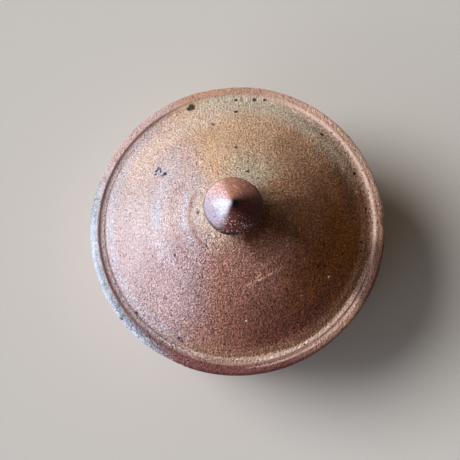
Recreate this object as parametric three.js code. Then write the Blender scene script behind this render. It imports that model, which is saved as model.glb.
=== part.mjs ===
// Salt jar in unglazed stoneware: a squat thrown jar with a conical lid and a pointed knob.
// Millimetres, +Z up, origin at the centre of the foot. Every piece is turned about the Z axis.
import * as THREE from 'three';

// Lid: the rim's roll, the channel inside it and the cone
const RIM_RADIUS = 50; // outside of the rim
const RIM_THICKNESS = 2.8; // seat to the lowest ring of the channel
const ROLL_WIDTH = 3.05; // outside of the rim to the crest of the roll
const ROLL_RISE = 0.72; // crest of the roll above the channel
const ROLL_FALL = 0.92; // how far the roll's top slopes down from its crest to the outside
const EDGE_ROUND = 1.4; // width of the rounding at the outside
const EDGE_HEIGHT = 1.6; // widest ring of the rim above the seat
const SEAT_INSET = 2.45; // outside of the rim to the level seat
const WALL_RUN = 1.55; // crest of the roll to the lowest ring of the channel
const COVE_RUN = 0.85; // lowest ring of the channel to the line of the cone
const CONE_HEIGHT = 25.35; // channel to the cone's top
const CONE_TOP_RADIUS = 7.5; // flat that carries the knob
const LID_WALL = 5; // square to the cone
const CROWN_WALL = 6.5; // under the knob

// Knob: an onion shape on a neck
const KNOB_RADIUS = 9.25;
const KNOB_HEIGHT = 16;
const KNOB_EQUATOR = 4.6; // height of its widest ring above its base
const NECK_RADIUS = 6.4;
const TIP_RADIUS = 2.7; // width of the tapering tip, where its sides turn straight
const TIP_LENGTH = 3.4;
const SHOULDER_RISE = 5; // how far the widest ring runs upright before it tapers

// Jar: lip, belly, floor and foot ring
const JAR_HEIGHT = 39.8; // table to the lip
const LID_OVERHANG = 4.6; // rim of the lid beyond the lip
const LIP_WALL = 4;
const LIP_ROUND = 1;
const BELLY_SWELL = 1.4; // belly beyond the lip
const BELLY_HEIGHT = 21;
const BELLY_WALL = 4.4;
const FLOOR_THICKNESS = 5;
const FOOT_RADIUS = 33;
const FOOT_WIDTH = 5;
const FOOT_HEIGHT = 3; // upright outer face of the foot ring
const FOOT_RECESS = 2.5; // hollow inside the foot ring
const FOOT_ROUND = 0.8;

// Locating ring under the lid, which drops into the mouth
const LID_CLEARANCE = 0.8; // ring to mouth, all round
const RING_WALL = 3.6;
const RING_DEPTH = 7;
const RING_ROUND = 1;

// Clay, as colour and roughness
const JAR_CLAY = { color: 0x8a5f4c, roughness: 0.6, metalness: 0 };
const LID_CLAY = { color: 0xa87a62, roughness: 0.55, metalness: 0 };
const RING_CLAY = { color: 0x94674f, roughness: 0.65, metalness: 0 };
const KNOB_CLAY = { color: 0x6b4238, roughness: 0.5, metalness: 0 };

// Facets
const SEGMENTS = 48; // round the axis
const CURVE_STEPS = 6; // along each curved stretch of a profile
const QUARTER = 0.5523; // handle length of a curve that follows a quarter ellipse
const EASE = 0.45; // handle length of an S-curve, as a share of its height

// Sizes that follow from the ones above
const lipRadius = RIM_RADIUS - LID_OVERHANG;
const mouthRadius = lipRadius - LIP_WALL;
const ringRadius = mouthRadius - LID_CLEARANCE;
const ringBore = ringRadius - RING_WALL;
const crestRadius = RIM_RADIUS - ROLL_WIDTH;
const channelRadius = crestRadius - WALL_RUN;
const coneRadius = channelRadius - COVE_RUN;
const coneTop = RIM_THICKNESS + CONE_HEIGHT;

// Quarter ellipse from a point where the profile is level to a point where it is upright
function levelToUpright(path, r, z) {
  const { x, y } = path.currentPoint;
  path.bezierCurveTo(x + QUARTER * (r - x), y, r, z - QUARTER * (z - y), r, z);
}

// Quarter ellipse from a point where the profile is upright to a point where it is level
function uprightToLevel(path, r, z) {
  const { x, y } = path.currentPoint;
  path.bezierCurveTo(x, y + QUARTER * (z - y), r - QUARTER * (r - x), z, r, z);
}

// S-curve between two points where the profile is upright
function uprightToUpright(path, r, z) {
  const { x, y } = path.currentPoint;
  path.bezierCurveTo(x, y + EASE * (z - y), r, z - EASE * (z - y), r, z);
}

// Solid of revolution about Z from a profile in radius and height
function turned(name, path, clay) {
  const geometry = new THREE.LatheGeometry(path.getPoints(CURVE_STEPS), SEGMENTS);
  geometry.rotateX(Math.PI / 2);
  const mesh = new THREE.Mesh(geometry, new THREE.MeshStandardMaterial(clay));
  mesh.name = name;
  return mesh;
}

// Jar: up the outside from the foot, over the lip and down the inside to the floor
function jarBody() {
  const belly = lipRadius + BELLY_SWELL;
  const bellyInside = belly - BELLY_WALL;
  const footBore = FOOT_RADIUS - FOOT_WIDTH;
  const floor = FOOT_RECESS + FLOOR_THICKNESS;
  const path = new THREE.Path();
  path.moveTo(0, FOOT_RECESS);
  path.lineTo(footBore - FOOT_RECESS, FOOT_RECESS);
  path.lineTo(footBore, 0);
  path.lineTo(FOOT_RADIUS - FOOT_ROUND, 0);
  path.lineTo(FOOT_RADIUS, FOOT_ROUND);
  path.lineTo(FOOT_RADIUS, FOOT_HEIGHT);
  levelToUpright(path, belly, BELLY_HEIGHT);
  uprightToUpright(path, lipRadius, JAR_HEIGHT - LIP_ROUND);
  path.lineTo(lipRadius - LIP_ROUND, JAR_HEIGHT);
  path.lineTo(mouthRadius + LIP_ROUND, JAR_HEIGHT);
  path.lineTo(mouthRadius, JAR_HEIGHT - LIP_ROUND);
  uprightToUpright(path, bellyInside, BELLY_HEIGHT);
  uprightToLevel(path, FOOT_RADIUS - BELLY_WALL, floor);
  path.lineTo(0, floor);
  return turned('jar_body', path, JAR_CLAY);
}

// Lid: down the hollow, out under the rim, over the roll, through the channel and up the cone, with the
// seat at height 0
function lid() {
  const slope = CONE_HEIGHT / (coneRadius - CONE_TOP_RADIUS);
  const drop = LID_WALL * Math.hypot(1, slope);
  const coneAt = (r) => RIM_THICKNESS + (coneRadius - r) * slope;
  const ceiling = coneTop - CROWN_WALL;
  const ceilingRadius = coneRadius - (ceiling - RIM_THICKNESS + drop) / slope;
  const hollowMouth = Math.min(ringBore, coneRadius - (drop - RIM_THICKNESS) / slope);
  const crest = RIM_THICKNESS + ROLL_RISE;
  const rollSlope = ROLL_FALL / ROLL_WIDTH;
  const shoulderRadius = RIM_RADIUS - EDGE_ROUND;
  const shoulder = crest - (shoulderRadius - crestRadius) * rollSlope;
  const coveRadius = coneRadius - COVE_RUN;
  const path = new THREE.Path();
  path.moveTo(0, ceiling);
  path.lineTo(ceilingRadius, ceiling);
  path.lineTo(hollowMouth, coneAt(hollowMouth) - drop);
  path.lineTo(hollowMouth, 0);
  path.lineTo(RIM_RADIUS - SEAT_INSET, 0);
  levelToUpright(path, RIM_RADIUS, EDGE_HEIGHT);
  path.quadraticCurveTo(RIM_RADIUS, crest - ROLL_FALL, shoulderRadius, shoulder);
  path.lineTo(crestRadius, crest);
  path.quadraticCurveTo(crestRadius - WALL_RUN / 2, RIM_THICKNESS, channelRadius, RIM_THICKNESS);
  path.quadraticCurveTo(coneRadius, RIM_THICKNESS, coveRadius, coneAt(coveRadius));
  path.lineTo(CONE_TOP_RADIUS, coneTop);
  path.lineTo(0, coneTop);
  return turned('lid', path, LID_CLAY);
}

// Locating ring: hangs from the lid's seat, its lower edges eased
function locatingRing() {
  const path = new THREE.Path();
  path.moveTo(ringBore, 0);
  path.lineTo(ringBore, RING_ROUND - RING_DEPTH);
  path.lineTo(ringBore + RING_ROUND, -RING_DEPTH);
  path.lineTo(ringRadius - RING_ROUND, -RING_DEPTH);
  path.lineTo(ringRadius, RING_ROUND - RING_DEPTH);
  path.lineTo(ringRadius, 0);
  path.lineTo(ringBore, 0);
  return turned('locating_ring', path, RING_CLAY);
}

// Knob: from its base on the cone out over the neck, round the widest ring and up to the point
function knob() {
  const path = new THREE.Path();
  path.moveTo(0, 0);
  path.lineTo(NECK_RADIUS, 0);
  uprightToUpright(path, KNOB_RADIUS, KNOB_EQUATOR);
  const shoulder = KNOB_EQUATOR + SHOULDER_RISE;
  path.bezierCurveTo(KNOB_RADIUS, shoulder, TIP_RADIUS, KNOB_HEIGHT - TIP_LENGTH, 0, KNOB_HEIGHT);
  return turned('knob', path, KNOB_CLAY);
}

const saltJar = new THREE.Group();
saltJar.add(jarBody());

const lidPieces = new THREE.Group();
lidPieces.position.z = JAR_HEIGHT;
saltJar.add(lidPieces);
lidPieces.add(lid(), locatingRing());

const lidKnob = knob();
lidKnob.position.z = coneTop;
lidPieces.add(lidKnob);

export default saltJar;
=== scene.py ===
"""Salt jar in wood-fired stoneware: a squat thrown jar, a conical lid with a rolled rim, the locating ring
under it and an onion-shaped knob. Metres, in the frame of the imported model: +Z up, origin at the foot."""

import math
from collections import namedtuple

import bpy
import numpy as np
from mathutils import Matrix, Vector


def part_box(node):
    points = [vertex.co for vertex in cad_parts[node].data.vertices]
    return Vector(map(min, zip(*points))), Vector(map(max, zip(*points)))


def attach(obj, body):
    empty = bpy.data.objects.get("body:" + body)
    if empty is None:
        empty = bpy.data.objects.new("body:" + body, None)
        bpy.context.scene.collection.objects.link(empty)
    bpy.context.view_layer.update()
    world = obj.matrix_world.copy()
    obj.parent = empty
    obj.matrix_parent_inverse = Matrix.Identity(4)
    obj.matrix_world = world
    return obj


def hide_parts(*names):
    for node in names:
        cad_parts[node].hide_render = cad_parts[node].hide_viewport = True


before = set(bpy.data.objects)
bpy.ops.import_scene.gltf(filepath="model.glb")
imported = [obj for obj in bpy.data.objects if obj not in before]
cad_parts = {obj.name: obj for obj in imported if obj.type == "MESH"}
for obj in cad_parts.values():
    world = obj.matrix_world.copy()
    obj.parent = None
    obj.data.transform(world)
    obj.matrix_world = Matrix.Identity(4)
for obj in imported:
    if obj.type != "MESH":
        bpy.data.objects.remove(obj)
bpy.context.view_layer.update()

MM = 0.001

# Sizes read from the frame
lid_low, lid_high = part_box("lid")
knob_low, knob_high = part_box("knob")
ring_low, ring_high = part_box("locating_ring")
jar_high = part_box("jar_body")[1]
RIM_RADIUS = lid_high.x
SEAT = lid_low.z
CONE_TOP = lid_high.z
KNOB_RADIUS = knob_high.x
KNOB_BASE = knob_low.z
KNOB_TIP = knob_high.z
RING_RADIUS = ring_high.x
RING_FOOT = ring_low.z
BELLY_RADIUS = jar_high.x
LIP = jar_high.z

# Lid's turned section
CHANNEL_FLOOR = SEAT + 2.8 * MM
ROLL_WIDTH = 3.05 * MM
ROLL_FALL = 0.92 * MM
CREST = CHANNEL_FLOOR + 0.72 * MM
CREST_RADIUS = RIM_RADIUS - ROLL_WIDTH
CREST_ROUND = 0.25 * MM
EDGE = SEAT + 1.6 * MM
EDGE_ROUND = 1.4 * MM
SEAT_RADIUS = RIM_RADIUS - 2.45 * MM
WALL_RUN = 1.55 * MM
COVE_RUN = 0.85 * MM
CHANNEL_RADIUS = CREST_RADIUS - WALL_RUN
CONE_RADIUS = CHANNEL_RADIUS - COVE_RUN
CONE_TOP_RADIUS = 7.5 * MM
CONE_SLOPE = (CONE_TOP - CHANNEL_FLOOR) / (CONE_RADIUS - CONE_TOP_RADIUS)
LID_WALL = 5 * MM
LID_DROP = LID_WALL * math.hypot(1, CONE_SLOPE)
CROWN_WALL = 6.5 * MM
CEILING = CONE_TOP - CROWN_WALL
CEILING_EASE = 3 * MM

# Ring's turned section
RING_BORE = RING_RADIUS - 3.6 * MM
RING_ROUND = 1 * MM

# Knob's turned section
NECK_RADIUS = 6.4 * MM
KNOB_EQUATOR = KNOB_BASE + 4.6 * MM
SHOULDER_RISE = 5 * MM
TIP_RADIUS = 2.7 * MM
TIP_LENGTH = 3.4 * MM
KNOB_LEAN = (0, -0.9 * MM)

# Jar's turned section
LIP_RADIUS = BELLY_RADIUS - 1.4 * MM
MOUTH_RADIUS = LIP_RADIUS - 4 * MM
LIP_ROUND = 1 * MM
BELLY_HEIGHT = 21 * MM
BELLY_WALL = 4.4 * MM
BELLY_INSIDE = BELLY_RADIUS - BELLY_WALL
FLOOR_HEIGHT = 7.5 * MM
FOOT_RADIUS = 33 * MM
FOOT_BORE = 28 * MM
FOOT_HEIGHT = 3 * MM
FOOT_RECESS = 2.5 * MM
FOOT_ROUND = 0.8 * MM
FLOOR_RADIUS = FOOT_RADIUS - BELLY_WALL

# Camera, from the rim's ellipse and the knob's place in the photograph
PHOTO_SIZE = 460
RIM_CENTRE_IN_PHOTO = (236.8, 227.1)
FOCAL_PIXELS = 1032.4
CAMERA_DISTANCE = 350 * MM
CAMERA_TILT = math.radians(12.28)
CAMERA_TURN = math.radians(9.13)
SENSOR_WIDTH = 36


# Camera
def make_camera():
    """Camera tilted off the jar's axis and turned towards +X, with +Y up in the picture. A small shift puts
    the rim's centre where the photograph has it."""
    back = Vector((math.sin(CAMERA_TILT) * math.sin(CAMERA_TURN),
                   -math.sin(CAMERA_TILT) * math.cos(CAMERA_TURN),
                   math.cos(CAMERA_TILT)))
    right = Vector((0, 1, 0)).cross(back).normalized()
    up = back.cross(right)
    eye = Vector((0, 0, (SEAT + CREST) / 2)) + CAMERA_DISTANCE * back
    data = bpy.data.cameras.new("camera")
    data.sensor_width = SENSOR_WIDTH
    data.lens = FOCAL_PIXELS / PHOTO_SIZE * SENSOR_WIDTH
    data.shift_x = 0.5 - RIM_CENTRE_IN_PHOTO[0] / PHOTO_SIZE
    data.shift_y = RIM_CENTRE_IN_PHOTO[1] / PHOTO_SIZE - 0.5
    data.clip_start = 10 * MM
    camera = bpy.data.objects.new("camera", data)
    turn = Matrix((right, up, back)).transposed().to_4x4()
    camera.matrix_world = Matrix.Translation(eye) @ turn
    bpy.context.scene.collection.objects.link(camera)
    bpy.context.scene.camera = camera
    return np.array(eye), np.array(right), np.array(up), np.array(-back)


CAMERA = make_camera()


def on_lid(pixel):
    """Point of the lid seen at a pixel: where the camera's ray meets the cone z = apex - slope * r or, past
    the cone's foot, the channel's level floor."""
    eye, right, up, ahead = CAMERA
    across = (pixel[0] - RIM_CENTRE_IN_PHOTO[0]) / FOCAL_PIXELS
    above = (RIM_CENTRE_IN_PHOTO[1] - pixel[1]) / FOCAL_PIXELS
    ray = ahead + across * right + above * up
    apex = CONE_TOP + CONE_SLOPE * CONE_TOP_RADIUS
    height = apex - eye[2]
    a = ray[2] ** 2 - CONE_SLOPE ** 2 * (ray[0] ** 2 + ray[1] ** 2)
    b = -2 * (height * ray[2] + CONE_SLOPE ** 2 * (eye[0] * ray[0] + eye[1] * ray[1]))
    c = height ** 2 - CONE_SLOPE ** 2 * (eye[0] ** 2 + eye[1] ** 2)
    roots = np.roots((a, b, c)).real
    points = [eye + t * ray for t in sorted(roots)]
    on_cone = next(p for p in points if p[2] < apex)
    on_floor = eye + ray * (CHANNEL_FLOOR - eye[2]) / ray[2]
    return on_floor if on_cone[2] < CHANNEL_FLOOR else on_cone


# Profiles, as rows of radius and height
def straight(start, end, rows):
    """Points at even steps from start towards end."""
    t = np.linspace(0, 1, rows, endpoint=False)[:, None]
    return np.array(start) + t * (np.array(end) - np.array(start))


def quarter(start, end, rows, level):
    """Quarter ellipse that leaves start level or upright: one coordinate follows the sine of an angle, and
    the other one minus its cosine."""
    a = np.linspace(0, math.pi / 2, rows, endpoint=False)
    early, late = np.sin(a), 1 - np.cos(a)
    along, rise = (early, late) if level else (late, early)
    radius = start[0] + (end[0] - start[0]) * along
    height = start[1] + (end[1] - start[1]) * rise
    return np.stack((radius, height), 1)


def swing(start, end, rows):
    """S-curve, upright at both ends: the radius follows 3 t^2 - 2 t^3 while the height is even."""
    t = np.linspace(0, 1, rows, endpoint=False)
    radius = start[0] + (end[0] - start[0]) * t * t * (3 - 2 * t)
    height = start[1] + (end[1] - start[1]) * t
    return np.stack((radius, height), 1)


def bezier(corners, rows):
    """Cubic through the first and last corner, pulled towards the two between them."""
    t = np.linspace(0, 1, rows, endpoint=False)[:, None]
    p = [np.array(c) for c in corners]
    return (1 - t) ** 3 * p[0] + 3 * t * (1 - t) ** 2 * p[1] + 3 * t * t * (1 - t) * p[2] + t ** 3 * p[3]


def arched(start, middle, end, rows):
    """Quadratic curve from start to end, leaving and arriving along the lines to the middle corner."""
    t = np.linspace(0, 1, rows, endpoint=False)[:, None]
    p = [np.array(c) for c in (start, middle, end)]
    return (1 - t) ** 2 * p[0] + 2 * t * (1 - t) * p[1] + t * t * p[2]


# Unevenness of thrown clay
def smooth_step(value, low, high):
    """0 below low, 1 above high and 3 t^2 - 2 t^3 between."""
    t = np.clip((value - low) / (high - low), 0, 1)
    return t * t * (3 - 2 * t)


def toward(angle, degrees, edge, full):
    """Side that faces a direction: the cosine of the angle to it, eased from 0 at edge to 1 at full."""
    return smooth_step(np.cos(angle - math.radians(degrees)), edge, full)


def wave(distance, pitch, phase):
    """Cosine that repeats at every pitch."""
    return np.cos(2 * math.pi * distance / pitch + phase)


def bell(offset, width):
    """exp(-(offset / width)^2)."""
    return np.exp(-(offset / width) ** 2)


def unevenness(points, seed, shortest, longest, waves=24):
    """Sum of plane waves of random direction, length and phase, scaled to about unit size."""
    draw = np.random.default_rng(seed)
    directions = draw.normal(size=(waves, 3))
    directions /= np.linalg.norm(directions, axis=1)[:, None]
    lengths = draw.uniform(shortest, longest, waves)
    phases = draw.uniform(0, 2 * math.pi, waves)
    total = np.zeros(points.shape[:-1])
    for direction, length, phase in zip(directions, lengths, phases):
        total += wave(points @ direction, length, phase)
    return total * math.sqrt(2 / waves)


def bumps(points, seed, count, radius, height):
    """Sum of round bumps exp(-(distance / radius)^2) at random vertices, each with its own size."""
    draw = np.random.default_rng(seed)
    centres = points.reshape(-1, 3)[draw.integers(0, points[..., 0].size, count)]
    radii = draw.uniform(*radius, count)
    heights = draw.uniform(*height, count)
    total = np.zeros(points.shape[:-1])
    for centre, r, h in zip(centres, radii, heights):
        total += h * np.exp(-((points - centre) ** 2).sum(-1) / r ** 2)
    return total


# Meshes
def new_piece(name, points, faces, values):
    """Smooth mesh object from vertices, arrays of faces with equal corners and named vertex values."""
    corners = np.concatenate([face.ravel() for face in faces])
    sizes = np.concatenate([np.full(len(face), face.shape[1]) for face in faces])
    mesh = bpy.data.meshes.new(name)
    mesh.vertices.add(len(points))
    mesh.vertices.foreach_set("co", points.astype(np.float32).ravel())
    mesh.loops.add(len(corners))
    mesh.loops.foreach_set("vertex_index", corners.astype(np.int32))
    mesh.polygons.add(len(sizes))
    mesh.polygons.foreach_set("loop_start", (np.cumsum(sizes) - sizes).astype(np.int32))
    mesh.polygons.foreach_set("use_smooth", np.ones(len(sizes), bool))
    mesh.update(calc_edges=True)
    for key, value in values.items():
        attribute = mesh.attributes.new(key, "FLOAT", "POINT")
        attribute.data.foreach_set("value", value.astype(np.float32))
    piece = bpy.data.objects.new(name, mesh)
    bpy.context.scene.collection.objects.link(piece)
    return piece


def turned(name, profile, columns, relief, attributes, closed=False, lean=None):
    """Surface of revolution: each profile row is turned about Z, then moved along the profile's normal by
    relief(angle, radius, height, normal, points), and sideways by lean(height). Attributes are named
    functions of the same five arrays. A profile closes on itself, or starts and ends on the axis, with a
    fan there."""
    rows = len(profile)
    angle = np.linspace(0, 2 * math.pi, columns, endpoint=False)[None, :]
    along = np.roll(profile, -1, 0) - np.roll(profile, 1, 0) if closed else np.gradient(profile, axis=0)
    along /= np.linalg.norm(along, axis=1)[:, None]
    normal = np.stack((along[:, 1], -along[:, 0]), 1)
    radius, height = profile[:, :1], profile[:, 1:]

    def swept(r, z):
        return np.stack((r * np.cos(angle), r * np.sin(angle), np.broadcast_to(z, (rows, columns))), -1)

    def poles_merged(grid):
        return np.concatenate((grid[0, :1], grid[1:-1].reshape(-1, *grid.shape[2:]), grid[-1, :1]))

    given = (angle, radius, height, normal, swept(radius, height))
    raised = relief(*given)
    points = swept(radius + raised * normal[:, :1], height + raised * normal[:, 1:])
    values = {key: np.broadcast_to(worked(*given), (rows, columns)) for key, worked in attributes.items()}
    index = np.arange(rows * columns).reshape(rows, columns)
    if closed:
        right = np.roll(index, -1, 1)
        quads = np.stack((index, right, np.roll(right, -1, 0), np.roll(index, -1, 0)), -1)
        values = {key: value.ravel() for key, value in values.items()}
        return new_piece(name, points.reshape(-1, 3), [quads.reshape(-1, 4)], values)
    points[0] = (0, 0, profile[0, 1])
    points[-1] = (0, 0, profile[-1, 1])
    if lean:
        points[..., :2] += lean(profile[:, 1])[:, None]
    index = np.clip(index - columns + 1, 0, (rows - 2) * columns + 1)
    right = np.roll(index, -1, 1)
    quads = np.stack((index[1:-2], right[1:-2], right[2:-1], index[2:-1]), -1)
    first_fan = np.stack((index[0], right[1], index[1]), -1)
    last_fan = np.stack((index[-2], right[-2], index[-1]), -1)
    values = {key: poles_merged(value) for key, value in values.items()}
    return new_piece(name, poles_merged(points), [quads.reshape(-1, 4), first_fan, last_fan], values)


def finish_piece(piece, body, node, material):
    """Ties a piece to its body, to the node that it stands for and to its finish."""
    piece.data.materials.append(material)
    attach(piece, body)
    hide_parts(node)


# Marks on the lid, as pixels of the photograph and a radius in millimetres
DARK_SPOTS = (
    (192, 107.5, 1.3), (188.5, 109, 0.8), (236, 112, 0.8), (236, 100, 0.65), (254.5, 100, 0.8),
    (264.7, 100, 0.6), (236, 148, 0.6), (247.8, 161, 0.4), (321.8, 135, 0.9), (354.5, 174, 0.7),
    (365.7, 208.6, 0.6), (360.6, 242, 0.6), (359.6, 251, 0.5), (324.5, 266, 0.6), (324, 244, 0.5),
    (206.5, 246, 0.5), (137, 312.7, 0.6), (179, 338, 0.7), (182, 341, 0.5), (134.7, 201, 0.4),
    (294, 328, 0.5), (304.5, 345, 0.5), (252.4, 298, 0.4), (341, 183, 0.5), (177, 115, 0.4),
)
PALE_SPOTS = (
    (128, 292, 0.7), (159, 310.6, 0.6), (246.3, 320.8, 0.4), (329, 277, 0.5), (356.5, 192, 0.5),
    (305.5, 192, 0.5),
)
BLUE_SPOT = ((158, 170.5, 1.7), (163, 172.5, 1.7))
SLATE_SPOTS = (
    (158.6, 168.2, 0.5), (160.4, 169.3, 0.4), (156.4, 171, 0.5), (155.7, 174.6, 0.45), (160.7, 171.8, 0.5),
    (165, 174.3, 0.75), (162.2, 176, 0.35),
)

# Drags on the lid, as the pixels of their ends and a height in millimetres
DRAGS = (
    ((244, 288), (286, 265), 0.42), ((254, 281), (264, 272), 0.24), ((294, 256), (308, 241), 0.1),
    ((223, 265), (233, 260), 0.24), ((222, 268), (228, 264), -0.2), ((224, 283), (246, 287), -0.16),
)
DRAG_WIDTH = 0.5 * MM
SMEARING_HEIGHT = 0.15

# Ridges on the left of the cone: foot's radius and width in metres, and a height in millimetres
RIDGES = ((14.3 * MM, 4.5 * MM, 0.16), (22.0 * MM, 8.0 * MM, 0.15))
RIDGE_RISE = 0.9 * MM

# Nick in the rim
NICK_DEGREES = 1.4
NICK_WIDTH = 1.5 * MM


def near_marks(points, marks):
    """Largest, over marks of centre and radius, of 1 - distance / (2 radius): 0.5 at a mark's edge."""
    nearest = np.zeros(points.shape[:-1])
    for centre, radius in marks:
        distance = np.sqrt(((points - centre) ** 2).sum(-1))
        nearest = np.maximum(nearest, 1 - distance / (2 * radius))
    return nearest


def drag_mark(points, start, end):
    """Unit ridge along a straight line on the cone: exp(-(offset / width)^2), fading in and out along it.
    The offset is measured square to the line and to the cone's outward direction at its middle."""
    start, end = on_lid(start), on_lid(end)
    length = np.linalg.norm(end - start)
    along = (end - start) / length
    x, y = (start + end)[:2] / 2
    outward = np.array((x, y, math.hypot(x, y) / CONE_SLOPE))
    aside = np.cross(along, outward)
    aside /= np.linalg.norm(aside)
    way = (points - start) @ along / length
    share = smooth_step(way, 0.0, 0.25) * (1 - smooth_step(way, 0.75, 1.0))
    return share * bell((points - start) @ aside, DRAG_WIDTH)


# Lid
def lid_profile():
    """Down the hollow, out under the rim, over the roll, through the channel and up the cone to the axis."""
    def cone(r):
        return (r, CHANNEL_FLOOR + (CONE_RADIUS - r) * CONE_SLOPE)

    def hollow(r):
        return (r, cone(r)[1] - LID_DROP)

    def roll(r):
        return (r, CREST - (r - CREST_RADIUS) * ROLL_FALL / ROLL_WIDTH)

    knee = CONE_RADIUS - (CEILING - CHANNEL_FLOOR + LID_DROP) / CONE_SLOPE
    knee_start = (knee - CEILING_EASE, CEILING)
    knee_end = hollow(knee + CEILING_EASE)
    wall_corner = (CREST_RADIUS - WALL_RUN / 2, CHANNEL_FLOOR)
    wall_slope = (CREST - CHANNEL_FLOOR) / (WALL_RUN / 2)
    wall_top = (CREST_RADIUS - CREST_ROUND, CREST - CREST_ROUND * wall_slope)
    lowest = (CHANNEL_RADIUS, CHANNEL_FLOOR)
    cone_foot = cone(CONE_RADIUS - COVE_RUN)
    return np.concatenate((
        straight((0, CEILING), knee_start, 4),
        bezier((knee_start, (knee, CEILING), (knee, CEILING), knee_end), 8),
        straight(knee_end, hollow(RING_BORE), 20),
        straight(hollow(RING_BORE), (RING_BORE, SEAT), 3),
        straight((RING_BORE, SEAT), (SEAT_RADIUS, SEAT), 6),
        quarter((SEAT_RADIUS, SEAT), (RIM_RADIUS, EDGE), 8, True),
        arched((RIM_RADIUS, EDGE), roll(RIM_RADIUS), roll(RIM_RADIUS - EDGE_ROUND), 8),
        straight(roll(RIM_RADIUS - EDGE_ROUND), roll(CREST_RADIUS + CREST_ROUND), 6),
        arched(roll(CREST_RADIUS + CREST_ROUND), roll(CREST_RADIUS), wall_top, 4),
        arched(wall_top, wall_corner, lowest, 8),
        arched(lowest, (CONE_RADIUS, CHANNEL_FLOOR), cone_foot, 8),
        straight(cone_foot, (CONE_TOP_RADIUS, CONE_TOP), 110),
        straight((CONE_TOP_RADIUS, CONE_TOP), (0, CONE_TOP), 3),
        np.array([[0, CONE_TOP]]),
    ))


def throwing_rings(angle, radius):
    """Height in millimetres of fine rings near the knob, which climb one turn in each wave, of broad rings,
    and of ridges on the left, which rise fast from their foot and fall away slowly."""
    near_knob = 1 - smooth_step(radius, 18 * MM, 38 * MM)
    fine = 0.07 * wave(radius, 3.9 * MM, angle) * near_knob
    broad = 0.16 * wave(radius - 25 * MM, 17 * MM, 0.6 * np.sin(angle))
    ridges = 0
    for foot, width, height in RIDGES:
        top = foot + RIDGE_RISE
        fall = 1 - smooth_step(radius, top, foot + width)
        ridges = ridges + height * smooth_step(radius, foot, top) * fall
    return fine + broad + ridges * toward(angle, 183, 0.6, 0.9)


def rim_tooling(angle, radius):
    """Height in millimetres of a line cut round the cone's foot on the left, a groove in the roll on the
    right and a second step in the channel at the front right."""
    cut = -0.3 * bell(radius - CONE_RADIUS - 0.1 * MM, 0.22 * MM) * toward(angle, 195, 0.2, 0.8)
    groove = -0.10 * bell(radius - CREST_RADIUS - 1.0 * MM, 0.3 * MM) * toward(angle, 35, 0.4, 0.9)
    step = (0.38 * smooth_step(radius, CHANNEL_RADIUS - 0.8 * MM, CHANNEL_RADIUS)
            - 0.62 * smooth_step(radius, CREST_RADIUS - 0.7 * MM, CREST_RADIUS - 0.2 * MM)
            + 0.24 * smooth_step(radius, CREST_RADIUS + 0.2 * MM, CREST_RADIUS + 0.6 * MM))
    return cut + groove + step * toward(angle, 310, 0.80, 0.92)


def rim_nick(angle, radius):
    """Height in millimetres of a nick in the rim on the right: a bell curve along the edge that fades
    inwards."""
    along_edge = 2 * RIM_RADIUS * np.sin((angle - math.radians(NICK_DEGREES)) / 2)
    at_edge = smooth_step(radius, RIM_RADIUS - 1.9 * MM, RIM_RADIUS - 0.4 * MM)
    return -0.8 * bell(along_edge, NICK_WIDTH) * at_edge


def lid_relief(angle, radius, height, normal, points):
    """Throwing rings and drags on the cone, slow waves, lumps, grit and pits, tool marks round the rim and a
    nick in it. Nothing stands proud of the widest ring."""
    upward = normal[:, 1:]
    top = smooth_step(upward, 0.2, 0.6) * smooth_step(radius, CONE_TOP_RADIUS, CONE_TOP_RADIUS + 3 * MM)
    cone = top * smooth_step(CONE_RADIUS - radius, 0, 2 * MM)
    slow = 0.10 * unevenness(points, 11, 14 * MM, 45 * MM)
    lumps = 0.030 * unevenness(points, 12, 1.6 * MM, 4 * MM, 48)
    grit = bumps(points, 13, 260, (0.5 * MM, 0.9 * MM), (-0.22, 0.10))
    drags = sum(raised * drag_mark(points, start, end) for start, end, raised in DRAGS)
    thrown = (throwing_rings(angle, radius) + drags) * cone
    tooled = rim_tooling(angle, radius) * (upward > 0.3) + rim_nick(angle, radius)
    room = 2 * (1 - smooth_step(radius, RIM_RADIUS - 1.5 * MM, RIM_RADIUS - 0.1 * MM))
    return MM * np.minimum(thrown + slow + lumps + grit * top + tooled, room)


def marks_on_lid(spots):
    """Attribute of the distance to marks that are placed by pixel on the lid."""
    marks = [(on_lid(spot[:2]), spot[2] * MM) for spot in spots]

    def worked(angle, radius, height, normal, points):
        return near_marks(points, marks) * (normal[:, 1:] > 0)

    return worked


def smear_and_highlight_on_lid(angle, radius, height, normal, points):
    """How far the raised drags have smeared the clay, as a mask for pale smear with a painted highlight."""
    smear_and_highlight = [drag_mark(points, start, end) for start, end, raised in DRAGS if raised > SMEARING_HEIGHT]
    return np.max(smear_and_highlight, axis=0) * (normal[:, 1:] > 0)


def lid_fire_side(angle, radius, height, normal, points):
    """1 on the faces that the flame reached, 0 under the lid."""
    return smooth_step(normal[:, 1:], -0.5, 0.0)


LID_ATTRIBUTES = {
    "fire_side": lid_fire_side,
    "dark_spots": marks_on_lid(DARK_SPOTS),
    "pale_spots": marks_on_lid(PALE_SPOTS),
    "blue_spot": marks_on_lid(BLUE_SPOT),
    "slate_spots": marks_on_lid(SLATE_SPOTS),
    "smear_and_highlight": smear_and_highlight_on_lid,
}


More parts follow.
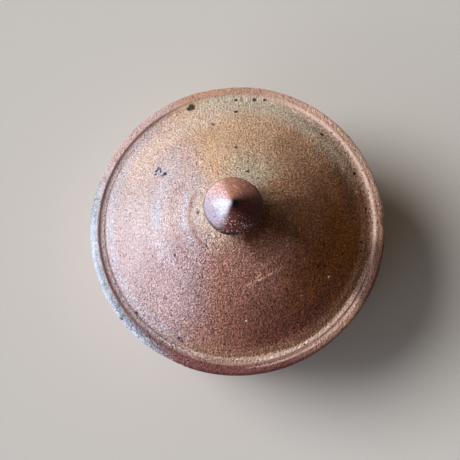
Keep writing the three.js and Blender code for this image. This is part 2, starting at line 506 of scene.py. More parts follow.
# Locating ring
def ring_profile():
    """Round the section of the ring, its lower edges eased."""
    ease = RING_FOOT + RING_ROUND
    return np.concatenate((
        straight((RING_BORE, SEAT), (RING_BORE, ease), 8),
        quarter((RING_BORE, ease), (RING_BORE + RING_ROUND, RING_FOOT), 4, False),
        straight((RING_BORE + RING_ROUND, RING_FOOT), (RING_RADIUS - RING_ROUND, RING_FOOT), 4),
        quarter((RING_RADIUS - RING_ROUND, RING_FOOT), (RING_RADIUS, ease), 4, True),
        straight((RING_RADIUS, ease), (RING_RADIUS, SEAT), 8),
        straight((RING_RADIUS, SEAT), (RING_BORE, SEAT), 4),
    ))


def ring_relief(angle, radius, height, normal, points):
    """Fine turning lines down the ring and slow waves."""
    below = smooth_step(SEAT - height, 0.2 * MM, 1.5 * MM)
    lines = 0.04 * wave(height, 1.3 * MM, angle)
    return MM * below * (lines + 0.08 * unevenness(points, 21, 10 * MM, 30 * MM))


# Knob
def knob_profile():
    """Out over the base, up the neck to the widest ring and in to the point."""
    widest = (KNOB_RADIUS, KNOB_EQUATOR)
    shoulder = (KNOB_RADIUS, KNOB_EQUATOR + SHOULDER_RISE)
    return np.concatenate((
        straight((0, KNOB_BASE), (NECK_RADIUS, KNOB_BASE), 6),
        swing((NECK_RADIUS, KNOB_BASE), widest, 24),
        bezier((widest, shoulder, (TIP_RADIUS, KNOB_TIP - TIP_LENGTH), (0, KNOB_TIP)), 60),
        np.array([[0, KNOB_TIP]]),
    ))


def knob_relief(angle, radius, height, normal, points):
    """Soft hollows left by the fingers, turning lines and grit, fading out at the base and the point."""
    free = smooth_step(height, KNOB_BASE, KNOB_BASE + 2 * MM) * smooth_step(radius, 0, 3 * MM)
    lines = 0.012 * wave(height, 1.1 * MM, angle)
    hollows = 0.10 * unevenness(points, 31, 7 * MM, 18 * MM)
    grit = 0.02 * unevenness(points, 32, 1.2 * MM, 3 * MM)
    return MM * free * (lines + hollows + grit)


def knob_lean(height):
    """Drift of the axis: 3 t^2 - 2 t^3 of the whole lean, from above the widest ring to the point."""
    return smooth_step(height, KNOB_EQUATOR + 3 * MM, KNOB_TIP)[:, None] * np.array(KNOB_LEAN)


# Jar
def jar_profile():
    """Under the foot, up the belly, over the lip and down the inside to the floor."""
    below_lip = LIP - LIP_ROUND
    recess_edge = (FOOT_BORE - FOOT_RECESS, FOOT_RECESS)
    return np.concatenate((
        straight((0, FOOT_RECESS), recess_edge, 12),
        straight(recess_edge, (FOOT_BORE, 0), 5),
        straight((FOOT_BORE, 0), (FOOT_RADIUS - FOOT_ROUND, 0), 5),
        quarter((FOOT_RADIUS - FOOT_ROUND, 0), (FOOT_RADIUS, FOOT_ROUND), 4, True),
        straight((FOOT_RADIUS, FOOT_ROUND), (FOOT_RADIUS, FOOT_HEIGHT), 4),
        quarter((FOOT_RADIUS, FOOT_HEIGHT), (BELLY_RADIUS, BELLY_HEIGHT), 36, True),
        swing((BELLY_RADIUS, BELLY_HEIGHT), (LIP_RADIUS, below_lip), 30),
        quarter((LIP_RADIUS, below_lip), (LIP_RADIUS - LIP_ROUND, LIP), 4, False),
        straight((LIP_RADIUS - LIP_ROUND, LIP), (MOUTH_RADIUS + LIP_ROUND, LIP), 4),
        quarter((MOUTH_RADIUS + LIP_ROUND, LIP), (MOUTH_RADIUS, below_lip), 4, True),
        swing((MOUTH_RADIUS, below_lip), (BELLY_INSIDE, BELLY_HEIGHT), 16),
        quarter((BELLY_INSIDE, BELLY_HEIGHT), (FLOOR_RADIUS, FLOOR_HEIGHT), 16, False),
        straight((FLOOR_RADIUS, FLOOR_HEIGHT), (0, FLOOR_HEIGHT), 14),
        np.array([[0, FLOOR_HEIGHT]]),
    ))


def jar_relief(angle, radius, height, normal, points):
    """Throwing rings that climb the wall, slow waves and grit, kept off the lip and the foot."""
    free = smooth_step(height, 2 * MM, 5 * MM) * smooth_step(LIP - height, 0.3 * MM, 3 * MM)
    rings = 0.14 * wave(height, 6.3 * MM, angle) + 0.06 * wave(height, 2.7 * MM, 0.9 - angle)
    slow = 0.15 * unevenness(points, 41, 14 * MM, 45 * MM)
    grit = bumps(points, 42, 120, (0.6 * MM, 1.0 * MM), (-0.15, 0.10))
    return MM * free * (rings + slow + grit)


def jar_fire_side(angle, radius, height, normal, points):
    """1 on the faces that the flame reached, 0 inside the jar and under its foot."""
    inward, upward = -normal[:, :1], normal[:, 1:]
    inside = np.maximum(smooth_step(inward, 0.2, 0.6), upward * (height < 0.5 * LIP) > 0.5)
    under = smooth_step(-upward, 0.9, 0.99) * (height < FOOT_HEIGHT)
    return 1 - np.maximum(inside, under)


# Shader building blocks
FLOAT, VECTOR = "NodeSocketFloat", "NodeSocketVector"


def srgb(red, green, blue):
    """Linear colour of a display colour given in 0 to 255."""
    display = np.array((red, green, blue)) / 255
    linear = np.where(display <= 0.04045, display / 12.92, ((display + 0.055) / 1.055) ** 2.4)
    return (*linear.tolist(), 1)


def put(tree, kind, sockets=None, **settings):
    """New node of a kind, with its settings, and its sockets linked or set by name or number."""
    node = tree.nodes.new(kind)
    for name, value in settings.items():
        setattr(node, name, value)
    for name, value in (sockets or {}).items():
        socket = node.inputs[name]
        if isinstance(value, bpy.types.NodeSocket):
            tree.links.new(value, socket)
        else:
            socket.default_value = value
    return node


def calc(tree, operation, *values):
    """Output of a Math node."""
    return put(tree, "ShaderNodeMath", dict(enumerate(values)), operation=operation).outputs[0]


def product(tree, first, *others):
    """Product of values."""
    for other in others:
        first = calc(tree, "MULTIPLY", first, other)
    return first


def vector(tree, operation, *values, output=0):
    """Output of a Vector Math node."""
    return put(tree, "ShaderNodeVectorMath", dict(enumerate(values)), operation=operation).outputs[output]


def blended(tree, factor, first, second, blend="MIX"):
    """Output of a colour Mix node."""
    sockets = {0: factor, 6: first, 7: second}
    return put(tree, "ShaderNodeMix", sockets, data_type="RGBA", blend_type=blend).outputs[2]


def eased(tree, value, low, high, to_low=0.0, to_high=1.0):
    """Output of a smooth Map Range node."""
    sockets = {"Value": value, "From Min": low, "From Max": high, "To Min": to_low, "To Max": to_high}
    return put(tree, "ShaderNodeMapRange", sockets, interpolation_type="SMOOTHSTEP").outputs[0]


def noise(tree, place, scale, detail=2.0, roughness=0.5, colour=False):
    """Output of a Noise Texture node."""
    sockets = {"Vector": place, "Scale": scale, "Detail": detail, "Roughness": roughness}
    return put(tree, "ShaderNodeTexNoise", sockets).outputs[1 if colour else 0]


def flattened(tree, place):
    """Place with its height taken out."""
    return vector(tree, "MULTIPLY", place, (1, 1, 0))


def radius_of(tree, place):
    """Distance from the jar's axis."""
    return vector(tree, "LENGTH", flattened(tree, place), output=1)


def height_of(tree, place):
    """Height above the foot."""
    return put(tree, "ShaderNodeSeparateXYZ", {0: place}).outputs[2]


def painted(tree, name):
    """Value of a mesh attribute."""
    return put(tree, "ShaderNodeAttribute", attribute_name=name).outputs["Fac"]


def grey(tree, value):
    """Colour with the same value in its three channels."""
    return put(tree, "ShaderNodeCombineColor", {0: value, 1: value, 2: value}).outputs[0]


def layered(tree, colour, layers):
    """Colour with tones laid over it in order, each by the product of its masks."""
    for tone, *masks in layers:
        colour = blended(tree, product(tree, *masks), colour, tone)
    return colour


# Shared effects
def new_group(name, inputs, outputs):
    """Shader node group with named sockets. Gives the tree, its input sockets and its output node."""
    tree = bpy.data.node_groups.new(name, "ShaderNodeTree")
    for socket_name, kind in inputs.items():
        tree.interface.new_socket(socket_name, in_out="INPUT", socket_type=kind)
    for socket_name, kind in outputs.items():
        tree.interface.new_socket(socket_name, in_out="OUTPUT", socket_type=kind)
    source = tree.nodes.new("NodeGroupInput")
    return tree, source.outputs, tree.nodes.new("NodeGroupOutput")


def flash_group():
    """Where the flame touched: the cosine to a direction round the axis, wavered by noise, eased from start
    to end. Within the core the cosine falls to 0 at the axis."""
    inputs = {"Place": VECTOR, "Radius": FLOAT, "Direction": VECTOR, "Start": FLOAT, "End": FLOAT,
              "Waver": FLOAT, "Core": FLOAT}
    tree, given, result = new_group("flame flash", inputs, {"Mask": FLOAT})
    waver = noise(tree, given["Place"], 38)
    shift = product(tree, calc(tree, "SUBTRACT", waver, 0.5), given["Waver"])
    radius = calc(tree, "MAXIMUM", given["Radius"], given["Core"])
    along = vector(tree, "DOT_PRODUCT", given["Place"], given["Direction"], output=1)
    reach = calc(tree, "ADD", calc(tree, "DIVIDE", along, radius), shift)
    tree.links.new(eased(tree, reach, given["Start"], given["End"]), result.inputs["Mask"])
    return tree


def sand_group():
    """Sandy clay: noise of one grain size gives the tone and the height, with pits in some cells of a cell
    pattern. The cell's random colour picks it."""
    inputs = {"Place": VECTOR, "Grains": FLOAT}
    tree, given, result = new_group("sand", inputs, {"Tone": FLOAT, "Height": FLOAT, "Pits": FLOAT})
    grain = eased(tree, noise(tree, given["Place"], given["Grains"], roughness=0.6), 0.2, 0.8)
    cell_size = product(tree, given["Grains"], 0.7)
    cells = put(tree, "ShaderNodeTexVoronoi", {"Vector": given["Place"], "Scale": cell_size}).outputs
    draws = put(tree, "ShaderNodeSeparateColor", {0: cells["Color"]}).outputs
    picked = eased(tree, draws[1], 0.35, 0.15)
    pits = product(tree, eased(tree, cells["Distance"], 0.42, 0.15), picked)
    height = calc(tree, "SUBTRACT", grain, product(tree, pits, 0.7))
    tree.links.new(grain, result.inputs["Tone"])
    tree.links.new(height, result.inputs["Height"])
    tree.links.new(pits, result.inputs["Pits"])
    return tree


def specks_group():
    """Specks: the inside of some cells of a cell pattern, with a ragged edge. The cell's random colour
    picks it and sets its size."""
    inputs = {"Place": VECTOR, "Cells": FLOAT, "Size": FLOAT, "Share": FLOAT}
    tree, given, result = new_group("specks", inputs, {"Mask": FLOAT})
    rough = noise(tree, given["Place"], product(tree, given["Cells"], 3.1), roughness=0.6, colour=True)
    strayed = vector(tree, "SUBTRACT", rough, (0.5, 0.5, 0.5))
    stray = {0: strayed, "Scale": calc(tree, "DIVIDE", 0.8, given["Cells"])}
    spread = put(tree, "ShaderNodeVectorMath", stray, operation="SCALE").outputs[0]
    place = vector(tree, "ADD", given["Place"], spread)
    cells = put(tree, "ShaderNodeTexVoronoi", {"Vector": place, "Scale": given["Cells"]}).outputs
    draws = put(tree, "ShaderNodeSeparateColor", {0: cells["Color"]}).outputs
    size = product(tree, given["Size"], calc(tree, "ADD", 0.35, product(tree, draws[1], 0.9)))
    inside = eased(tree, cells["Distance"], size, product(tree, size, 0.5))
    picked = calc(tree, "LESS_THAN", draws[0], given["Share"])
    tree.links.new(product(tree, inside, picked), result.inputs["Mask"])
    return tree


def turning_group():
    """Turning lines: noise that is fine along the profile, by radius less height, and drawn out round the
    axis."""
    inputs = {"Place": VECTOR, "Radius": FLOAT, "Lines": FLOAT}
    tree, given, result = new_group("turning lines", inputs, {"Height": FLOAT})
    around = vector(tree, "NORMALIZE", flattened(tree, given["Place"]))
    parts = put(tree, "ShaderNodeSeparateXYZ", {0: around}).outputs
    along = calc(tree, "SUBTRACT", given["Radius"], height_of(tree, given["Place"]))
    fine = product(tree, along, given["Lines"])
    drawn = {0: fine, 1: product(tree, parts[0], 4), 2: product(tree, parts[1], 4)}
    place = put(tree, "ShaderNodeCombineXYZ", drawn).outputs[0]
    tree.links.new(noise(tree, place, 1, 3, 0.55), result.inputs["Height"])
    return tree


GROUPS = {"flash": flash_group(), "sand": sand_group(), "specks": specks_group(), "turning": turning_group()}


def grouped(tree, name, sockets):
    """Outputs of a node of one of the shared groups."""
    return put(tree, "ShaderNodeGroup", sockets, node_tree=GROUPS[name]).outputs


# Colours of the bare clay, its grain and its specks
GLOSS_TINT = srgb(205, 232, 255)
BARE = srgb(176, 124, 98)
BARE_SHADE = srgb(158, 108, 84)
IRON = srgb(30, 19, 17)
GRIT = srgb(226, 208, 190)
HOLLOW = srgb(116, 94, 86)

# Colours of the firing
RUST = srgb(172, 122, 106)
DARK_RUST = srgb(150, 98, 84)
SIENNA = srgb(127, 77, 61)
GOLDEN = srgb(224, 184, 150)
TOAST = srgb(192, 148, 116)
# umber that is partly fired colour and partly painted shade of the side turned from the light
UMBER_AND_SHADE = srgb(117, 67, 16)
ROSE = srgb(184, 163, 170)
PETAL = srgb(213, 188, 183)
CORAL = srgb(212, 175, 170)

# Colours of the lid
ASH = srgb(222, 208, 186)
CROWN_ASH = srgb(220, 202, 176)
# painted shadow of the knob, dark brown
PAINTED_KNOB_SHADOW = srgb(98, 50, 2)
STRAW = srgb(220, 198, 172)
# painted shade on the low side of the throwing steps on the left
STEP_SHADE = srgb(160, 108, 98)
COCOA = srgb(106, 66, 34)
BISQUE = srgb(232, 204, 182)
# dark scorch, also used as the painted shadow of the knob's tip on the channel
SCORCH_AND_SHADOW = srgb(84, 46, 36)
TAN = srgb(164, 124, 98)
# pale smear, partly a painted highlight along the raised drags
SMEAR_AND_HIGHLIGHT = srgb(214, 172, 152)
# pale channel colour, partly wear and partly painted light where the channel faces the light
WORN_AND_LIT = srgb(206, 172, 156)
# painted bluish sheen for the channel's left
MAUVE_SHEEN = srgb(214, 200, 206)
# chalky pale lines, partly painted highlights on the lit walls and crest
CHALK_AND_HIGHLIGHT = srgb(250, 222, 206)
# painted crease shade
CREVICE_SHADE = srgb(150, 108, 94)
SALMON = srgb(210, 163, 140)
# blush, partly a painted highlight on the roll
BLUSH_AND_HIGHLIGHT = srgb(240, 200, 178)
# plum clay, also used as painted shadow of the roll on the channel
PLUM_AND_SHADOW = srgb(138, 86, 80)
PINK = srgb(216, 186, 184)
# painted bluish sheen
PAINTED_SHEEN = srgb(152, 163, 180)
# painted glints
PAINTED_GLINTS = srgb(232, 240, 250)
# painted bluish sheen
PALE_SHEEN = srgb(206, 212, 226)
PALE_GRIT = srgb(206, 202, 184)
PALE_BLUE = srgb(196, 198, 210)
SLATE = srgb(52, 58, 74)

# Colours of the knob
KNOB_RED = srgb(92, 50, 44)
KNOB_BROWN = srgb(172, 120, 102)
# painted light in pink on the knob's lit upper left
KNOB_LIT_PINK = srgb(214, 174, 168)
# painted shade of the knob's right side
KNOB_SHADE = srgb(70, 32, 26)
# painted shade under the knob's widest ring
KNOB_UNDER_SHADE = srgb(60, 32, 30)
# painted bluish sheen on the knob's left
KNOB_SHEEN = srgb(164, 152, 168)
# painted highlight near the knob's point
TIP_HIGHLIGHT = srgb(206, 202, 214)
# painted shadow beside the knob's point
TIP_SHADOW = srgb(26, 10, 8)
SPARKLE = srgb(225, 180, 176)

# Sandy grain: grains, lines, clouds and specks to the metre, and the depth of the grain
GRAINS = 1800
GRAIN_DEPTH = 0.6 * MM
TURNING_LINES = 900
CLOUDS = 60
IRON_CELLS = 260
GRIT_CELLS = 420

# How much the grains' tones differ, everywhere and added on dry clay, and how far they are filled
SMOOTH_CONTRAST = 1.15
DRY_CONTRAST = 0.6
MEAN_TONE = 0.22
GLAZE_FILL = 0.35
RUB_FILL = 0.45


# Clay
Clay = namedtuple("Clay", "material tree shader place radius")


def new_clay(name, coat_roughness=0.25, coat_ior=1.5):
    """Material, its node tree and shader, the place on the piece and its distance from the axis."""
    material = bpy.data.materials.new(name)
    material.use_nodes = True
    tree = material.node_tree
    shader = tree.nodes["Principled BSDF"]
    shader.inputs["Specular IOR Level"].default_value = 0.2
    shader.inputs["Specular Tint"].default_value = GLOSS_TINT
    shader.inputs["Coat Roughness"].default_value = coat_roughness
    shader.inputs["Coat IOR"].default_value = coat_ior
    place = tree.nodes.new("ShaderNodeTexCoord").outputs["Object"]
    return Clay(material, tree, shader, place, radius_of(tree, place))


def facing(clay, degrees, edge, full, waver=0.5, core=8 * MM):
    """Mask of the side that faces a direction: 0 at one angle from it and 1 at a smaller one, in degrees."""
    a = math.radians(degrees)
    return grouped(clay.tree, "flash", {
        "Place": clay.place, "Radius": clay.radius, "Direction": (math.cos(a), math.sin(a), 0),
        "Start": math.cos(math.radians(edge)), "End": math.cos(math.radians(full)),
        "Waver": waver, "Core": core})["Mask"]


def between(clay, low, high, to_low=0.0, to_high=1.0):
    """Mask by the distance from the axis, eased from one distance to another, in millimetres."""
    return eased(clay.tree, clay.radius, low * MM, high * MM, to_low, to_high)


def ring(clay, middle, half_width):
    """Mask of a ring about the axis: 1 at its middle, easing to 0 at its half width, in millimetres."""
    away = calc(clay.tree, "ABSOLUTE", calc(clay.tree, "SUBTRACT", clay.radius, middle * MM))
    return eased(clay.tree, away, half_width * MM, 0.0)


def speckled(clay, cells, size, share):
    """Mask of specks: cells to the metre, the specks' size in a cell and the share of cells with one."""
    sockets = {"Place": clay.place, "Cells": cells, "Size": size, "Share": share}
    return grouped(clay.tree, "specks", sockets)["Mask"]


def ash_glaze(clay):
    """Patchy mask of the thin ash glaze on the side that faced the fire."""
    patchy = eased(clay.tree, noise(clay.tree, clay.place, 90), 0.3, 0.65, 0.6, 1.0)
    return product(clay.tree, facing(clay, 186, 66, 15, 0.3), patchy)


def dry_side(clay):
    """Mask of the side turned away from the fire, where the clay stayed dry and sandy."""
    return facing(clay, 322, 135, 75)


def sanded(clay, colour, glaze=0.0, dry=0.5, rubbed=0.0, grains=GRAINS, depth=GRAIN_DEPTH, specks=0.08):
    """Sandy grain over a colour: each grain scales it by the exponential of its own tone, more so on dry
    clay, with pits, iron specks, pale grit and turning lines. Ash glaze and rubbing fill the grain, and the
    glaze makes it glossy."""
    tree, shader = clay.tree, clay.shader
    sand = grouped(tree, "sand", {"Place": clay.place, "Grains": grains})
    turning = {"Place": clay.place, "Radius": clay.radius, "Lines": TURNING_LINES}
    lines = grouped(tree, "turning", turning)["Height"]
    filled = calc(tree, "SUBTRACT", 1.0, product(tree, glaze, GLAZE_FILL))
    filled = calc(tree, "SUBTRACT", filled, product(tree, rubbed, RUB_FILL))
    contrast = calc(tree, "ADD", product(tree, dry, DRY_CONTRAST), SMOOTH_CONTRAST)
    tone = calc(tree, "SUBTRACT", sand["Tone"], MEAN_TONE)
    grained = calc(tree, "EXPONENT", product(tree, tone, contrast, filled))
    clouded = eased(tree, noise(tree, clay.place, CLOUDS), 0.25, 0.75, 0.93, 1.07)
    lined = eased(tree, lines, 0.3, 0.7, 0.97, 1.03)
    toned = blended(tree, 1.0, colour, grey(tree, product(tree, grained, clouded, lined)), "MULTIPLY")
    pitted = calc(tree, "ADD", product(tree, dry, 0.35), 0.6)
    toned = blended(tree, product(tree, sand["Pits"], pitted), toned, HOLLOW, "MULTIPLY")
    iron = speckled(clay, IRON_CELLS, 0.22, specks)
    pale = speckled(clay, GRIT_CELLS, 0.2, 0.05)
    toned = layered(tree, toned, ((IRON, iron, 0.85), (GRIT, pale, 0.55)))
    tree.links.new(toned, shader.inputs["Base Color"])
    matt = eased(tree, sand["Tone"], 0.0, 1.0, 0.8, 0.6)
    polished = calc(tree, "SUBTRACT", matt, product(tree, glaze, 0.36))
    tree.links.new(polished, shader.inputs["Roughness"])
    surface = calc(tree, "SUBTRACT", sand["Height"], product(tree, iron, 0.4))
    surface = calc(tree, "ADD", surface, product(tree, lines, 0.06))
    rough = calc(tree, "ADD", 1.0, product(tree, dry, 0.5))
    raised = {"Height": product(tree, surface, rough, filled), "Distance": depth, "Strength": 1.0}
    tree.links.new(put(tree, "ShaderNodeBump", raised).outputs[0], shader.inputs["Normal"])
    if glaze != 0.0:
        tree.links.new(glaze, shader.inputs["Coat Weight"])


def fired(clay, colour):
    """Colours of the firing over a clay: sienna at the front right, golden behind, toast on the right with
    umber that is partly painted shade of the side turned from the light, rose on the left, petal at the back
    left and coral at the front left."""
    return layered(clay.tree, colour, (
        (SIENNA, facing(clay, 312, 62, 14, 0.3), between(clay, 14, 36)),
        (GOLDEN, facing(clay, 106, 88, 32, 0.3)),
        (TOAST, facing(clay, 26, 44, 16)),
        # umber on the right, partly painted shade of the side turned from the light
        (UMBER_AND_SHADE, facing(clay, 348, 58, 12), between(clay, 12, 34)),
        (ROSE, facing(clay, 186, 76, 14, 0.25), between(clay, 6, 30, 0.5, 1.0)),
        (PETAL, facing(clay, 162, 48, 8, 0.25)),
        (CORAL, facing(clay, 211, 30, 5, 0.25), between(clay, 12, 30), 0.6),
    ))


# Lid's clay
def cone_colours(clay):
    """Firing's colours over rust clay, with ash at the back right and behind the knob, painted shadow of the
    knob on the cone to its right and round its foot, straw round the knob, painted shade on the low side of
    the steps on the left, dark patches on the right and at the front right, a pale one at the back left, tan
    along the front edge and pale smears with a painted highlight on the drags."""
    return layered(clay.tree, fired(clay, RUST), (
        (ASH, facing(clay, 66, 60, 30), between(clay, 35, 43.5), 0.85),
        (CROWN_ASH, facing(clay, 73, 37, 9, 0.3), between(clay, 27, 13)),
        # painted shadow of the knob cast on the cone, and painted contact shade round its foot
        (PAINTED_KNOB_SHADOW, facing(clay, 320, 34, 14), between(clay, 20, 14), 0.45),
        (PAINTED_KNOB_SHADOW, facing(clay, 356, 24, 6, 0.2), between(clay, 31, 20), 0.65),
        (PAINTED_KNOB_SHADOW, facing(clay, 326, 48, 24), between(clay, 13, 10), 0.8),
        (STRAW, facing(clay, 150, 150, 80), between(clay, 17, 9), 0.55),
        # painted shade on the low side of the ridges' steps on the left
        (STEP_SHADE, facing(clay, 188, 52, 30), ring(clay, 14.2, 1.1), 0.6),
        (STEP_SHADE, facing(clay, 182, 46, 24), ring(clay, 20.2, 2.4), 0.18),
        (COCOA, facing(clay, 12, 34, 8, 0.3), ring(clay, 38.5, 6), 0.9),
        (BISQUE, facing(clay, 128, 42, 18), ring(clay, 38, 7), 0.8),
        (SCORCH_AND_SHADOW, facing(clay, 314, 36, 12), ring(clay, 38.5, 5), 0.65),
        (TAN, facing(clay, 326, 112, 60), between(clay, 40.5, 43.5), 0.7),
        # pale smear with a painted highlight along the raised drags
        (SMEAR_AND_HIGHLIGHT, painted(clay.tree, "smear_and_highlight"), 0.5),
    ))


def channel_colours(clay, colour):
    """Channel over the cone's colours: pale on the right and in front, partly wear and partly painted light,
    with chalky lines that are partly painted highlights, a painted mauve sheen on the left, a darker line
    along the cut at the cone's foot on the left, painted crease shade at the foot of the roll at the front
    right and painted shadow of the roll on the left."""
    return layered(clay.tree, colour, (
        # pale channel floor, partly wear and partly painted light
        (WORN_AND_LIT, facing(clay, 345, 115, 60), between(clay, 44.2, 46.2), 0.9),
        # painted bluish sheen on the channel's left
        (MAUVE_SHEEN, facing(clay, 190, 75, 45), ring(clay, 45.3, 1.0), 0.8),
        # chalky lines, partly painted highlights on the walls that face the light
        (CHALK_AND_HIGHLIGHT, facing(clay, 20, 60, 38, 0.1), ring(clay, 46.4, 0.9), 0.8),
        (CHALK_AND_HIGHLIGHT, facing(clay, 309, 34, 20, 0.1), ring(clay, 45.5, 0.9), 0.65),
        (CHALK_AND_HIGHLIGHT, facing(clay, 268, 30, 12, 0.1), ring(clay, 44.6, 0.9), 0.45),
        # darker line along the cut at the cone's foot on the left
        (PLUM_AND_SHADOW, facing(clay, 210, 45, 25, 0.1), ring(clay, 44.6, 0.5), 0.6),
        # painted crease shade in the groove at the foot of the roll's wall at the front right
        (CREVICE_SHADE, facing(clay, 310, 38, 22), ring(clay, 46.6, 0.6), 0.8),
        # painted shadow of the roll across the channel on the left
        (PLUM_AND_SHADOW, facing(clay, 170, 58, 30), ring(clay, 46.6, 0.7), 0.7),
    ))


def roll_colours(clay):
    """Roll of the rim: salmon, blushing at the back right with a painted highlight, plum in front, pink at
    the back left, with painted bluish sheen and painted glints on the left, a chalky line that is partly a
    painted highlight and a scorched edge at the front right."""
    glints = speckled(clay, 1300, 0.6, 0.4)
    return layered(clay.tree, SALMON, (
        # blush at the back right, partly a painted highlight
        (BLUSH_AND_HIGHLIGHT, facing(clay, 46, 46, 15), 0.8),
        (PLUM_AND_SHADOW, facing(clay, 264, 62, 25)),
        # chalky line on the crest, partly a painted highlight
        (CHALK_AND_HIGHLIGHT, facing(clay, 312, 40, 24, 0.1), ring(clay, 47.6, 0.6), 0.6),
        (SCORCH_AND_SHADOW, facing(clay, 300, 95, 55), between(clay, 48.7, 49.6), 0.6),
        (PINK, facing(clay, 155, 50, 28), 0.75),
        # painted bluish sheen and painted glints on the roll's left
        (PAINTED_SHEEN, facing(clay, 198, 50, 14, 0.15), between(clay, 46.4, 48.0)),
        (PAINTED_GLINTS, facing(clay, 208, 38, 16, 0.15), between(clay, 48.2, 49.4), 0.5),
        (PAINTED_GLINTS, glints, facing(clay, 198, 62, 26, 0.15), between(clay, 46.8, 48.0), 0.65),
    ))


def marked(clay, colour):
    """The lid's own marks, each with a ragged edge: iron spots, pale grit and a cluster of slate dots on a
    pale blue patch."""
    tree = clay.tree
    ragged = product(tree, calc(tree, "SUBTRACT", noise(tree, clay.place, 1500, roughness=0.6), 0.5), 0.5)
    marks = (("dark_spots", IRON, 0.9, 0.45), ("pale_spots", PALE_GRIT, 0.75, 0.45),
             ("blue_spot", PALE_BLUE, 0.6, 0.45), ("slate_spots", SLATE, 1.0, 0.4))
    for name, tone, share, edge in marks:
        inside = eased(tree, calc(tree, "ADD", painted(tree, name), ragged), edge, edge + 0.2)
        colour = layered(tree, colour, ((tone, inside, share),))
    return colour


def lid_clay():
    """Cone's, channel's, roll's and marks' colours, with a painted shadow of the knob's tip across the rim
    on the right and patchy pale rings of painted sheen on the left, over bare clay underneath. The rim is
    rubbed smooth, most at its crest and least where the painted sheen lies."""
    clay = new_clay("lid clay")
    tree = clay.tree
    on_roll = eased(tree, clay.radius, CREST_RADIUS - 0.4 * MM, CREST_RADIUS + 0.2 * MM)
    colour = blended(tree, on_roll, channel_colours(clay, cone_colours(clay)), roll_colours(clay))
    patchy = eased(tree, noise(tree, clay.place, 420, 4, 0.7), 0.3, 0.7)
    colour = layered(tree, colour, (
        # painted shadow of the knob's tip across the channel on the right
        (SCORCH_AND_SHADOW, facing(clay, 341, 17, 8, 0.05), between(clay, 43, 45.2), 0.65),
        # patchy rings of painted sheen on the left
        (PALE_SHEEN, ring(clay, 26, 3.6), facing(clay, 176, 44, 14), patchy, 0.75),
        (PALE_SHEEN, ring(clay, 16.4, 1.8), facing(clay, 184, 44, 14), patchy, 0.75),
        (PALE_SHEEN, ring(clay, 42.6, 3.0), facing(clay, 192, 62, 14), patchy, 0.75),
    ))
    colour = blended(tree, painted(tree, "fire_side"), BARE, marked(clay, colour))
    glaze = product(tree, ash_glaze(clay), between(clay, 12, 38, 0.2, 1.0))
    # away from the painted sheen on the left
    off_sheen = eased(tree, facing(clay, 198, 75, 35), 0.0, 1.0, 1.0, 0.25)
    on_rim = product(tree, between(clay, 44, 47.5), off_sheen)
    rubbed = calc(tree, "ADD", on_rim, product(tree, ring(clay, 46.5, 1.1), 0.7))
    sanded(clay, colour, glaze, dry_side(clay), rubbed)
    return clay.material


# Other clays
def knob_clay():
    """Dark red clay, brown behind, with painted light in pink on the upper left, painted shade near black on
    the right and under the widest ring, a painted shadow beside the point, a thin glossy glaze on the left
    under a painted sheen that turns to a painted highlight near the point, and pale grit in front. The sides
    lie about the leaning point."""
    clay = new_clay("knob clay", 0.2, 1.9)
    tree = clay.tree
    about_tip = vector(tree, "SUBTRACT", clay.place, (*KNOB_LEAN, 0))
    tip = clay._replace(place=about_tip, radius=radius_of(tree, about_tip))

    def side(degrees, edge, full, waver=0.2, core=2.5 * MM):
        return facing(tip, degrees, edge, full, waver, core)

    glaze = product(tree, side(145, 114, 70, 0.4), side(232, 112, 38))
    drift = product(tree, calc(tree, "SUBTRACT", noise(tree, clay.place, 160), 0.5), 2.5 * MM)
    level = calc(tree, "ADD", height_of(tree, clay.place), drift)
    colour = layered(tree, KNOB_RED, (
        (KNOB_BROWN, side(108, 128, 15)),
        # painted light on the lit upper left
        (KNOB_LIT_PINK, side(158, 60, 10)),
        # painted shade on the right
        (KNOB_SHADE, side(340, 62, 12)),
        # painted shadow beside the point
        (TIP_SHADOW, side(325, 75, 35, core=0.8 * MM), between(tip, 3.4, 1.2)),
        # painted sheen over the glaze on the left, turning to a painted highlight near the point
        (KNOB_SHEEN, glaze),
        (TIP_HIGHLIGHT, glaze, between(tip, 7.0, 2.5)),
        # painted shade under the widest ring
        (KNOB_UNDER_SHADE, eased(tree, level, KNOB_EQUATOR + 3.1 * MM, KNOB_EQUATOR + 1.4 * MM)),
        (SPARKLE, speckled(clay, 2000, 0.6, 0.4), facing(clay, 274, 50, 18, 0.3, 6 * MM), 0.75),
    ))
    sanded(clay, colour, product(tree, glaze, 0.9), 0.3, grains=2200, depth=0.14 * MM, specks=0.05)
    return clay.material


def ring_clay():
    """Bare clay that the flame did not reach."""
    clay = new_clay("ring clay")
    sanded(clay, blended(clay.tree, facing(clay, 30, 120, 20), BARE_SHADE, BARE))
    return clay.material


def jar_clay():
    """The firing's colours over dark rust, with a bare foot and a bare inside."""
    clay = new_clay("jar clay")
    tree = clay.tree
    fire_side = painted(tree, "fire_side")
    foot = eased(tree, height_of(tree, clay.place), 6 * MM, 3 * MM)
    colour = blended(tree, foot, fired(clay, DARK_RUST), BARE)
    colour = blended(tree, fire_side, BARE, colour)
    glaze = product(tree, ash_glaze(clay), fire_side, 0.7)
    sanded(clay, colour, glaze, dry_side(clay), 0.6)
    return clay.material


# Studio
FLOOR_COLOUR = srgb(226, 222, 215)
FLOOR_REACH = 12.0
FLOOR_CORNERS = 96
BACKDROP_STRENGTH = 0.71
SKY_COLOUR = (1, 0.82, 0.64, 1)
SKY_STRENGTH = 0.085
SOFTBOX_COLOUR = (1.0, 0.98, 0.97)
WINDOW_COLOUR = (0.86, 0.96, 1.14)


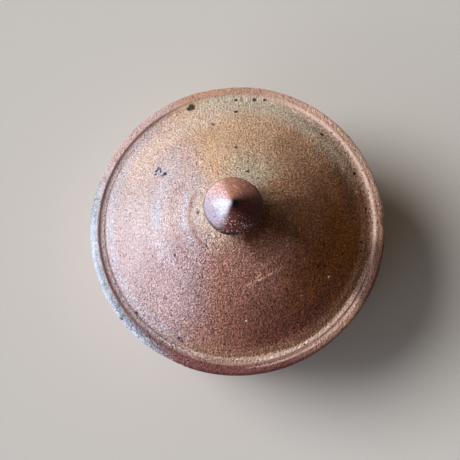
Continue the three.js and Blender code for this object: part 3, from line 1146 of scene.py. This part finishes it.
def make_floor():
    """Level disc, wide enough that its edge lies at the horizon."""
    angle = np.linspace(0, 2 * math.pi, FLOOR_CORNERS, endpoint=False)
    rim = FLOOR_REACH * np.stack((np.cos(angle), np.sin(angle), np.zeros(FLOOR_CORNERS)), 1)
    mesh = bpy.data.meshes.new("studio_floor")
    mesh.from_pydata(rim.tolist(), [], [list(range(FLOOR_CORNERS))])
    material = bpy.data.materials.new("studio floor")
    material.use_nodes = True
    shader = material.node_tree.nodes["Principled BSDF"]
    shader.inputs["Base Color"].default_value = FLOOR_COLOUR
    shader.inputs["Roughness"].default_value = 0.9
    mesh.materials.append(material)
    floor = bpy.data.objects.new("studio_floor", mesh)
    bpy.context.scene.collection.objects.link(floor)


def make_lamp(name, turn, climb, spread, strength, colour):
    """Soft lamp that shines evenly on everything: its azimuth, elevation and angular width in degrees."""
    turn, climb = math.radians(turn), math.radians(climb)
    source = Vector((math.cos(turn) * math.cos(climb), math.sin(turn) * math.cos(climb), math.sin(climb)))
    data = bpy.data.lights.new(name, "SUN")
    data.angle = math.radians(spread)
    data.energy = strength
    data.color = colour
    lamp = bpy.data.objects.new(name, data)
    lamp.rotation_euler = source.to_track_quat("Z", "Y").to_euler()
    bpy.context.scene.collection.objects.link(lamp)


def make_lights():
    """A softbox, two broad cool windows low on the left, and a weak, warm sky with a pale backdrop."""
    make_lamp("softbox", 164, 45, 36, 2.05, SOFTBOX_COLOUR)
    make_lamp("window", 174, 18, 44, 1.4, WINDOW_COLOUR)
    make_lamp("side_window", 222, 14, 40, 0.85, WINDOW_COLOUR)
    world = bpy.data.worlds.new("studio sky")
    world.use_nodes = True
    tree = world.node_tree
    sky = tree.nodes["Background"]
    sky.inputs["Color"].default_value = SKY_COLOUR
    sky.inputs["Strength"].default_value = SKY_STRENGTH
    backdrop = put(tree, "ShaderNodeBackground", {"Color": FLOOR_COLOUR, "Strength": BACKDROP_STRENGTH})
    seen = tree.nodes.new("ShaderNodeLightPath").outputs["Is Camera Ray"]
    shown = put(tree, "ShaderNodeMixShader", {0: seen, 1: sky.outputs[0], 2: backdrop.outputs[0]})
    tree.links.new(shown.outputs[0], tree.nodes["World Output"].inputs["Surface"])
    bpy.context.scene.world = world


# Pieces
jar = turned("thrown_jar", jar_profile(), 560, jar_relief, {"fire_side": jar_fire_side})
finish_piece(jar, "jar", "jar_body", jar_clay())
lid = turned("thrown_lid", lid_profile(), 480, lid_relief, LID_ATTRIBUTES)
finish_piece(lid, "lid", "lid", lid_clay())
locating_ring = turned("thrown_ring", ring_profile(), 360, ring_relief, {}, closed=True)
finish_piece(locating_ring, "lid", "locating_ring", ring_clay())
knob = turned("onion_knob", knob_profile(), 256, knob_relief, {}, lean=knob_lean)
finish_piece(knob, "lid", "knob", knob_clay())

make_floor()
make_lights()
bpy.context.scene.view_settings.view_transform = "Standard"
